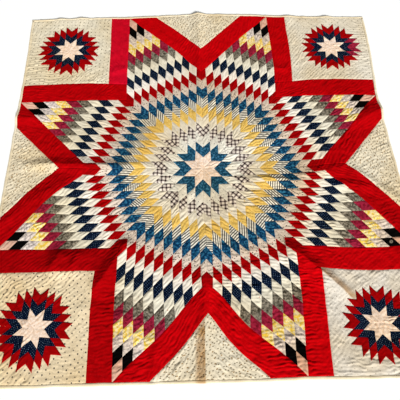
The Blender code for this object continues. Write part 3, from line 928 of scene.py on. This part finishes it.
def medallion(place, middle):
    """A small star over a corner block's face."""
    stations = np.linspace(0.0, 1.0, SMALL_CELLS + 1)
    flats, cells, patches, picks, heights = [], [], [], [], []
    small_cells = grid_cells(len(stations), len(stations), turned=False)
    for arm in range(ARMS):
        turns = (middle.turn + arm * ARM_ANGLE, middle.turn + (arm + 1) * ARM_ANGLE)
        side_a, side_b = (toward(turn, SMALL_PATCH) for turn in turns)
        for i in range(SMALL_RINGS):
            for j in range(SMALL_RINGS - i):
                corner = np.array((middle.x, middle.y)) * PATCH + i * side_a + j * side_b
                flat, a, b = grid_places(corner, side_a, side_b, stations, stations)
                to_seam = np.minimum(np.minimum(a, 1.0 - a), np.minimum(b, 1.0 - b))
                share = np.clip(to_seam * SMALL_PATCH / SEAM_SLOPE, 0.0, 1.0)
                cells.append(small_cells + len(stations) ** 2 * len(flats))
                patches.append(np.full(len(small_cells), len(flats)))
                plum = place == "ne" and (arm, i, j) in PLUM_PLACES
                picks.append(np.full(len(small_cells), PLUM if plum else i + j))
                heights.append(APPLIQUE_LIFT + SMALL_PUFF * (1.0 - (1.0 - share) ** 2))
                flats.append(flat)
    count = len(flats)
    flat, cells, patch = np.vstack(flats), np.vstack(cells), np.concatenate(patches)
    rng = np.random.default_rng(302 + int(middle.x > 0) + 2 * int(middle.y > 0))
    height = relief(flat, np.full(len(flat), BLOCK)) + np.concatenate(heights)
    prints = patch_prints(cells, flat, patch, rng, count, rng.uniform(0.0, math.tau, count))
    tones = rng.uniform(-1.0, 1.0, count)[patch]
    piece = as_cloth(
        f"medallion_{place}", flat, height, cells.tolist(), prints, tones, SMALL_COTTONS,
        np.concatenate(picks),
    )
    turn_under(piece, EDGE_DROP)
    return piece


def turn_under(piece, drop):
    """Welds a piece's patches and turns its outer edge down to the cloth below."""
    bm = bmesh.new()
    bm.from_mesh(piece.data)
    bmesh.ops.remove_doubles(bm, verts=bm.verts, dist=WELD_DISTANCE)
    rim = [edge for edge in bm.edges if edge.is_boundary]
    grown = bmesh.ops.extrude_edge_only(bm, edges=rim)["geom"]
    for vert in [item for item in grown if isinstance(item, bmesh.types.BMVert)]:
        vert.co.z -= drop
    bm.to_mesh(piece.data)
    bm.free()


for place, middle in MEDALLIONS.items():
    star = medallion(place, middle)


# Side triangles. Four wide triangles of a cream cotton that is printed all over with tiny brown
# and grey sprigs. Each fills the gap between two arms, inside its red bands.
TRIANGLE_CELLS = 100
TRIANGLE_TURN = 0.4
DASH_SOFTNESS = 0.3
DASH_FLATTENING = (1.0, 0.6, 1.0)


def dashes(tree, place, pitch, radius, scatter, turn):
    """A mask of dashes on a shaken lattice, over half as long again as they are wide."""
    flattened = node(tree, "ShaderNodeMapping", {0: place, 2: (0.0, 0.0, turn), 3: DASH_FLATTENING})
    grain = {"Vector": flattened, "Scale": 1.0 / pitch, "Randomness": scatter}
    away = node(tree, "ShaderNodeTexVoronoi", grain, result="Distance", voronoi_dimensions="2D")
    edge, soft = radius / pitch, DASH_SOFTNESS
    limits = {"Value": away, "From Min": edge * (1.0 - soft), "From Max": edge * (1.0 + soft), **FALLING}
    return node(tree, "ShaderNodeMapRange", limits, interpolation_type="SMOOTHSTEP")


def tiny_sprigs(tree, place):
    """Cream under crowded grey dashes and sparser brown ones, which blur into sprigs."""
    grey = inked(tree, dashes(tree, place, 0.0135, 0.0024, 0.70, 0.9), "#e1d6bd", "#867b65")
    return inked(tree, dashes(tree, place, 0.0240, 0.0026, 0.90, 0.2), grey, "#9a7d54")


SPRIGGED_CREAM = cotton("cream_cotton_with_tiny_sprigs", tiny_sprigs)


def side_triangle(quarter, place):
    """The cream filling of one gap between two arms."""
    apex, legs = gap_frame(quarter)
    span = ARM_PATCHES - 2.0 * BAND_PATCHES
    stations = np.linspace(0.0, span, TRIANGLE_CELLS + 1)
    corner = apex + BAND_PATCHES * (legs[0] + legs[1])
    flat, a, b = grid_places(corner, *legs, stations, stations)
    from_seam = np.minimum.reduce([a, b, (span - a - b) / math.sqrt(2.0)]) * PATCH
    column, row = np.divmod(np.arange(TRIANGLE_CELLS**2), TRIANGLE_CELLS)
    cells = grid_cells(len(stations), len(stations), turned=False)
    faces = cells[column + row < TRIANGLE_CELLS - 1].tolist()
    faces += cells[column + row == TRIANGLE_CELLS - 1][:, (0, 1, 3)].tolist()
    used = a + b < span + 0.5 * span / TRIANGLE_CELLS
    renumbered = np.cumsum(used) - 1
    faces = [[int(renumbered[corner]) for corner in face] for face in faces]
    name, turn = f"side_triangle_{place}", quarter * TRIANGLE_TURN
    return plain_piece(name, flat[used], from_seam[used], faces, SPRIGGED_CREAM, turn)


for quarter, place in enumerate(GAPS):
    triangle = side_triangle(quarter, place)


# Backing. One wide sheet of unbleached muslin, the quilt's underside, which lies on the floor
# and rises with the folds. The quilting dimples it, and its edge runs into the binding.
BACKING_CELL = 0.0150
BACKING_HALF = TOP_HALF + 0.008
BACKING_LIFT = 0.0005
DIMPLE_HEIGHT = 0.0004
DIMPLE_SIZE = 0.020


def unbleached(tree, place):
    """Raw cotton, warm and faintly mottled."""
    return inked(tree, blotches(tree, place, 0.050, 0.35, 0.75), "#dfd2b6", "#d3c4a4")


MUSLIN = cotton("unbleached_muslin", unbleached)
steps = np.linspace(-BACKING_HALF, BACKING_HALF, int(2.0 * BACKING_HALF / BACKING_CELL) + 1)
flat, _, _ = grid_places((0.0, 0.0), (1.0, 0.0), (0.0, 1.0), steps, steps)
cells = grid_cells(len(steps), len(steps), turned=True)
dimples = DIMPLE_HEIGHT * (1.0 + unevenness(flat, DIMPLE_SIZE, seed=61))
backing = as_cloth(
    "backing", flat, BACKING_LIFT + dimples, cells.tolist(), flat[cells.ravel()],
    np.zeros(len(cells)), (MUSLIN,), np.zeros(len(cells)),
)


# Binding. Four strips of cream cotton with a fine tan print, folded round the quilt's raw edge
# and hemmed by hand. The hemming draws each strip into small uneven puckers.
BINDING_CLOTH = 0.0009
BINDING_STEP = 0.0080
BINDING_PUCKER = 0.0007
BINDING_PUCKER_SIZE = 0.016
BINDING_PUCKER_FADE = 0.004
BINDING_WOBBLE = 0.0012
BINDING_WOBBLE_SIZE = 0.060
EDGES = ("head", "left", "foot", "right")
# The strip's outer face in section: how far out from the patchwork's edge, and how high
BINDING_SECTION = (
    (-0.0004, 0.0034),
    (0.0012, 0.0043),
    (0.0040, 0.0050),
    (0.0075, 0.0050),
    (0.0104, 0.0045),
    (0.0122, 0.0035),
    (0.0130, 0.0023),
    (0.0123, 0.0012),
    (0.0104, 0.0005),
    (0.0060, 0.0003),
    (0.0008, 0.0003),
)


def binding_print(tree, place):
    """Cream with fine tan dots, which blur into a pale tan from afar."""
    return inked(tree, spots(tree, place, 0.0065, 0.0011, 0.4), "#e6dabf", "#b29c74")


BINDING_COTTON = cotton("tan_dotted_binding_cotton", binding_print)


def binding_ring():
    """The strip's section: its outer face, then its inner face a cloth's thickness within."""
    outer = np.array(BINDING_SECTION)
    leaning = np.gradient(outer, axis=0)
    inward = np.column_stack((leaning[:, 1], -leaning[:, 0]))
    inward /= np.hypot(*inward.T)[:, None]
    return np.vstack((outer, (outer + BINDING_CLOTH * inward)[::-1]))


def binding_strip(place, side):
    """A folded strip along one edge. Side counts quarter turns from the head, and the strips
    at head and foot cover the corners."""
    full_width = side % 2 == 0
    end = TOP_HALF + (BINDING_WIDTH if full_width else 0.0)
    stations = np.linspace(-end, end, round(2.0 * end / BINDING_STEP) + 1)
    section = binding_ring()
    count, ring = len(stations), len(section)
    station = np.repeat(stations, ring)
    out, height = np.tile(section, (count, 1)).T
    along = np.column_stack((station, np.full_like(station, side * 1.0)))
    puckers = unevenness(along, BINDING_PUCKER_SIZE, seed=71) * BINDING_PUCKER
    puckers *= np.clip(height / BINDING_PUCKER_FADE, 0.0, 1.0)
    wobble = unevenness(along, BINDING_WOBBLE_SIZE, seed=72) * BINDING_WOBBLE
    reach = TOP_HALF + out + wobble * np.clip(out / BINDING_WIDTH, 0.0, 1.0)
    cos, sin = round(math.cos(side * math.pi / 2.0)), round(math.sin(side * math.pi / 2.0))
    flat = np.column_stack((station * cos - reach * sin, station * sin + reach * cos))
    puffed = relief(np.clip(flat, -TOP_HALF, TOP_HALF), np.zeros(len(flat))) - SEAM_THICKNESS
    puffed = puffed * np.clip(height / SEAM_THICKNESS, 0.0, 1.0) * (1.0 - out / (2.0 * BINDING_WIDTH))
    i, j = (grid.ravel() for grid in np.meshgrid(np.arange(count - 1), np.arange(ring), indexing="ij"))
    here, after = i * ring, (i + 1) * ring
    j_next = (j + 1) % ring
    cells = np.column_stack((here + j, here + j_next, after + j_next, after + j))
    caps = [list(range(ring))[::-1], [(count - 1) * ring + k for k in range(ring)]]
    faces = cells.tolist() + caps
    corners = np.array([corner for face in faces for corner in face])
    walk = np.concatenate(([0.0], np.cumsum(np.hypot(*np.diff(section, axis=0).T))))
    prints = np.column_stack((station, np.tile(walk, count)))[corners]
    plain = np.zeros(len(faces))
    piece = as_cloth(
        f"binding_strip_{place}", flat, height + puffed + puckers, faces, prints, plain,
        (BINDING_COTTON,), plain, solid=f"binding_{place}",
    )
    return piece, 2.0 * end


for side, place in enumerate(EDGES):
    strip, length = binding_strip(place, side)


# Quilting. Rows of running stitches, sewn by hand through top, batting and backing with off-white
# cotton thread, and with red thread over the bands, then short slanting stitches that hem the
# binding. They lie in the dips between the puffs, and each one drawn stands for two.
STITCH_PITCH = 0.0092
STITCH_LENGTH = 0.0052
QUILTING_THREAD = 0.0007
HEM_PITCH = 0.0080
HEM_LENGTH = 0.0032
HEM_SLANT = 1.0
HEM_INSET = 0.0012
STRETCH_REACH = 0.32
OWN_SHARE = 0.40
EDGE_MARGIN = 0.004
LOOK_DOWN = 0.2
ROW_ROUNDS = 6
STITCH_SEED = 5
STITCH_LEAN = 0.16
# Half a stitch's length as a share of Stitch Length, from the shortest to the longest
STITCH_HALF = (0.38, 0.58)
# Turns flat places, one to a row, a quarter anticlockwise
QUARTER_TURN = np.array(((0.0, 1.0), (-1.0, 0.0)))
TOP_PIECES = ("star_arm", "red_band", "corner_block", "medallion", "side_triangle")
PALE_COTTONS = {
    "peach_cotton_sateen", "white_cotton_with_pin_dots", "white_sprigged_cotton",
    "golden_yellow_cotton", "black_pinstriped_shirting", "speckled_beige_cotton",
    "bleached_cream_muslin", "cream_sprigged_muslin", "yellow_swirl_cotton", "pearl_grey_cotton",
    "pink_peach_cotton", "cream_cotton_with_tiny_sprigs",
    *(f"dotted_cream_calico_{place}" for place in BLOCKS),
}
BAND_COTTONS = {BAND_COTTON.name, PINK_BAND_COTTON.name}


def thread(name, code, worn_code):
    """Three-ply cotton thread, glazed for quilting, which gives it a faint gloss."""
    material = bpy.data.materials.new(name)
    material.use_nodes = True
    tree = material.node_tree
    shader = tree.nodes["Principled BSDF"]
    spot = node(tree, "ShaderNodeTexCoord", {}, result="Object")
    colour = inked(tree, blotches(tree, spot, 0.020, 0.35, 0.70), code, worn_code)
    tree.links.new(colour, shader.inputs["Base Color"])
    shader.inputs["Roughness"].default_value = 0.62
    shader.inputs["Specular IOR Level"].default_value = 0.25
    return material


def sewn_surface():
    """One searchable surface of the quilt's top, and the name of each face's cotton."""
    points, faces, cottons = [], [], []
    for piece in [item for item in bpy.data.objects if item.name.startswith(TOP_PIECES)]:
        mesh = piece.data
        names = [material.name for material in mesh.materials]
        first = len(points)
        places = np.empty(len(mesh.vertices) * 3)
        mesh.vertices.foreach_get("co", places)
        points += places.reshape(-1, 3).tolist()
        faces += [[first + corner for corner in face.vertices] for face in mesh.polygons]
        cottons += [names[face.material_index] for face in mesh.polygons]
    return BVHTree.FromPolygons(points, faces), cottons


SEWN_TOP, SEWN_COTTONS = sewn_surface()


def sewn_at(flat):
    """Where flat places lie on the made top, and on which cotton."""
    landed, found = [], []
    for x, y, z in lie_of(flat, LOOK_DOWN).tolist():
        place, _, face, _ = SEWN_TOP.ray_cast((x, y, z), (0.0, 0.0, -1.0))
        landed.append(place if place is not None else (x, y, 0.0))
        found.append(SEWN_COTTONS[face] if face is not None else "")
    return np.array(landed), found


def quilting_rows(stretch):
    """Flat places of stitches along one stretch's rows, as an array of rows by stations. The
    rows wander, so each place is brought onto its row in a few rounds."""
    ahead, aside = row_steps(stretch.angle)
    middle = np.array((stretch.x, stretch.y)) * PATCH
    stations = middle @ ahead + np.arange(-STRETCH_REACH, STRETCH_REACH, STITCH_PITCH)
    middle_row, reach = round(middle @ aside / ROW_SPACING), round(STRETCH_REACH / ROW_SPACING)
    rows = middle_row + np.arange(-reach, reach + 1)
    row, station = (grid.ravel() for grid in np.meshgrid(rows, stations, indexing="ij"))
    across = row * ROW_SPACING
    for _ in range(ROW_ROUNDS):
        flat = np.outer(station, ahead) + np.outer(across, aside)
        _, counted = rows_at(flat, stretch.angle)
        across = across + (row - counted) * ROW_SPACING
    return flat.reshape(len(rows), len(stations), 2)


def stitching_tree():
    """A slim three-sided spindle of thread at each point of the runs, along the run or at a
    slant to it."""
    tree = bpy.data.node_groups.new("hand_stitches", "GeometryNodeTree")
    kinds = (
        ("Geometry", "NodeSocketGeometry"), ("Stitch Length", "NodeSocketFloat"),
        ("Thread Width", "NodeSocketFloat"), ("Slant", "NodeSocketFloat"),
        ("Seed", "NodeSocketInt"), ("Thread", "NodeSocketMaterial"),
    )
    for name, kind in kinds:
        tree.interface.new_socket(name, in_out="INPUT", socket_type=kind)
    tree.interface.new_socket("Geometry", in_out="OUTPUT", socket_type="NodeSocketGeometry")
    given = tree.nodes.new("NodeGroupInput").outputs
    runs = node(tree, "GeometryNodeMeshToCurve", {"Mesh": given["Geometry"]})
    tangent = node(tree, "GeometryNodeInputTangent", {})
    leans = {2: -STITCH_LEAN, 3: STITCH_LEAN, "Seed": given["Seed"]}
    lean = node(tree, "FunctionNodeRandomValue", leans, result=1)
    turn = node(tree, "ShaderNodeMath", {0: given["Slant"], 1: lean}, operation="ADD")
    leaning = {"Vector": tangent, "Angle": turn, "Axis": (0.0, 0.0, 1.0)}
    heading = node(tree, "ShaderNodeVectorRotate", leaning)
    turned = node(tree, "FunctionNodeAlignRotationToVector", {"Vector": heading}, axis="Z")
    halves = {2: STITCH_HALF[0], 3: STITCH_HALF[1], "Seed": given["Seed"]}
    uneven = node(tree, "FunctionNodeRandomValue", halves, result=1)
    long = node(tree, "ShaderNodeMath", {0: given["Stitch Length"], 1: uneven}, operation="MULTIPLY")
    wide = node(tree, "ShaderNodeMath", {0: given["Thread Width"], 1: 0.5}, operation="MULTIPLY")
    size = node(tree, "ShaderNodeCombineXYZ", {0: wide, 1: wide, 2: long})
    spindle = node(tree, "GeometryNodeMeshUVSphere", {"Segments": 3, "Rings": 2, "Radius": 1.0})
    rounded = node(tree, "GeometryNodeSetShadeSmooth", {"Geometry": spindle})
    spread = {"Points": runs, "Instance": rounded, "Rotation": turned, "Scale": size}
    sewn = node(tree, "GeometryNodeInstanceOnPoints", spread)
    real = node(tree, "GeometryNodeRealizeInstances", {"Geometry": sewn})
    dyed = node(tree, "GeometryNodeSetMaterial", {"Geometry": real, "Material": given["Thread"]})
    tree.links.new(dyed, tree.nodes.new("NodeGroupOutput").inputs["Geometry"])
    return tree


STITCHING = stitching_tree()


def thread_rows(name, runs, length, slant, material):
    """Makes stitches at the points of runs, which are lists of places on the quilt's face."""
    points = [place for run in runs for place in run]
    starts = set(np.cumsum([len(run) for run in runs]).tolist())
    links = [(k, k + 1) for k in range(len(points) - 1) if k + 1 not in starts]
    mesh = bpy.data.meshes.new(name)
    mesh.from_pydata(points, links, [])
    guide = bpy.data.objects.new(f"{name}_guide", mesh)
    bpy.context.scene.collection.objects.link(guide)
    sewing = guide.modifiers.new("sewing", "NODES")
    sewing.node_group = STITCHING
    given = {
        "Stitch Length": length, "Thread Width": QUILTING_THREAD, "Slant": slant,
        "Seed": STITCH_SEED, "Thread": material,
    }
    for socket in STITCHING.interface.items_tree:
        if socket.in_out == "INPUT" and socket.name in given:
            sewing[socket.identifier] = given[socket.name]
    made = guide.evaluated_get(bpy.context.evaluated_depsgraph_get())
    piece = bpy.data.objects.new(name, bpy.data.meshes.new_from_object(made))
    bpy.context.scene.collection.objects.link(piece)
    bpy.data.objects.remove(guide)
    bpy.data.meshes.remove(mesh)
    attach(piece, "root")
    return piece


def runs_on(cottons):
    """Runs of stitch places that lie on any of these cottons, row by row."""
    runs = []
    for number, stretch in enumerate(STRETCHES):
        rows = quilting_rows(stretch)
        flat = rows.reshape(-1, 2)
        inside = np.abs(flat).max(axis=1) < TOP_HALF - EDGE_MARGIN
        own = stretch_weights(flat)[:, number] > OWN_SHARE
        kept = np.flatnonzero(inside & own)
        landed, found = sewn_at(flat[kept])
        chosen = {int(k): place for k, place, cloth in zip(kept, landed, found) if cloth in cottons}
        for row in range(len(rows)):
            run = []
            for k in range(row * rows.shape[1], (row + 1) * rows.shape[1]):
                if k in chosen:
                    run.append(chosen[k])
                elif run:
                    runs.append(run)
                    run = []
            if run:
                runs.append(run)
    return [run for run in runs if len(run) > 1]


WHITE_THREAD = thread("off_white_quilting_thread", "#efe8d8", "#e2d8c2")
RED_THREAD = thread("red_quilting_thread", "#a80409", "#8e0307")
thread_rows("quilting_on_pale_cloth", runs_on(PALE_COTTONS), STITCH_LENGTH, 0.0, WHITE_THREAD)
thread_rows("quilting_on_red_bands", runs_on(BAND_COTTONS), STITCH_LENGTH, 0.0, RED_THREAD)
hem = TOP_HALF - HEM_INSET
stations = np.arange(-hem, hem, HEM_PITCH)
edges = np.column_stack((stations, np.full_like(stations, hem)))
hem_runs = []
for _ in EDGES:
    hem_runs.append(sewn_at(edges)[0].tolist())
    edges = edges @ QUARTER_TURN
thread_rows("binding_hem_stitches", hem_runs, HEM_LENGTH, HEM_SLANT, WHITE_THREAD)


# Floor, light and camera. A pale studio floor, a broad soft light from the lower right, which
# rakes over the folds, and an even fill from all round.
FLOOR_SIZE = 24.0
FLOOR_DROP = 0.0004
SUN_FROM = (0.25, -0.87, 0.50)
SUN_STRENGTH = 5.4
SUN_SOFTNESS = 12.0
FILL_STRENGTH = 0.26
CAMERA_PLACE = (-0.0511, -0.8766, 1.7607)
CAMERA_AIM = (-0.0226, -0.1978, 0.0)
CAMERA_ROLL = 0.93
CAMERA_LENS = 33.909
SENSOR = 36.0

floor_mesh = bpy.data.meshes.new("floor")
bm = bmesh.new()
bmesh.ops.create_grid(bm, x_segments=1, y_segments=1, size=FLOOR_SIZE / 2.0)
bm.to_mesh(floor_mesh)
bm.free()
floor_mesh.transform(Matrix.Translation((0.0, 0.0, -FLOOR_DROP)))
floor = bpy.data.objects.new("floor", floor_mesh)
bpy.context.scene.collection.objects.link(floor)
# Matt white paper, which gives an even ground with no gloss
paper = bpy.data.materials.new("matt_white_paper")
paper.use_nodes = True
paper_shader = paper.node_tree.nodes["Principled BSDF"]
paper_shader.inputs["Base Color"].default_value = paint("#f7f7f5")
paper_shader.inputs["Roughness"].default_value = 0.95
paper_shader.inputs["Specular IOR Level"].default_value = 0.0
floor_mesh.materials.append(paper)

sun = bpy.data.lights.new("soft_light", "SUN")
sun.energy = SUN_STRENGTH
sun.angle = math.radians(SUN_SOFTNESS)
lamp = bpy.data.objects.new("soft_light", sun)
lamp.rotation_mode = "QUATERNION"
lamp.rotation_quaternion = Vector(SUN_FROM).to_track_quat("Z", "Y")
bpy.context.scene.collection.objects.link(lamp)

world = bpy.data.worlds.new("studio")
world.use_nodes = True
world.node_tree.nodes["Background"].inputs["Color"].default_value = (1.0, 1.0, 1.0, 1.0)
world.node_tree.nodes["Background"].inputs["Strength"].default_value = FILL_STRENGTH
bpy.context.scene.world = world
bpy.context.scene.view_settings.view_transform = "Standard"

camera = bpy.data.cameras.new("camera")
camera.lens = CAMERA_LENS
camera.sensor_width = SENSOR
view = bpy.data.objects.new("camera", camera)
view.rotation_mode = "QUATERNION"
view.location = CAMERA_PLACE
looking = Vector(CAMERA_AIM) - Vector(CAMERA_PLACE)
roll = Quaternion((0.0, 0.0, 1.0), math.radians(CAMERA_ROLL))
view.rotation_quaternion = looking.to_track_quat("-Z", "Y") @ roll
bpy.context.scene.collection.objects.link(view)
bpy.context.scene.camera = view
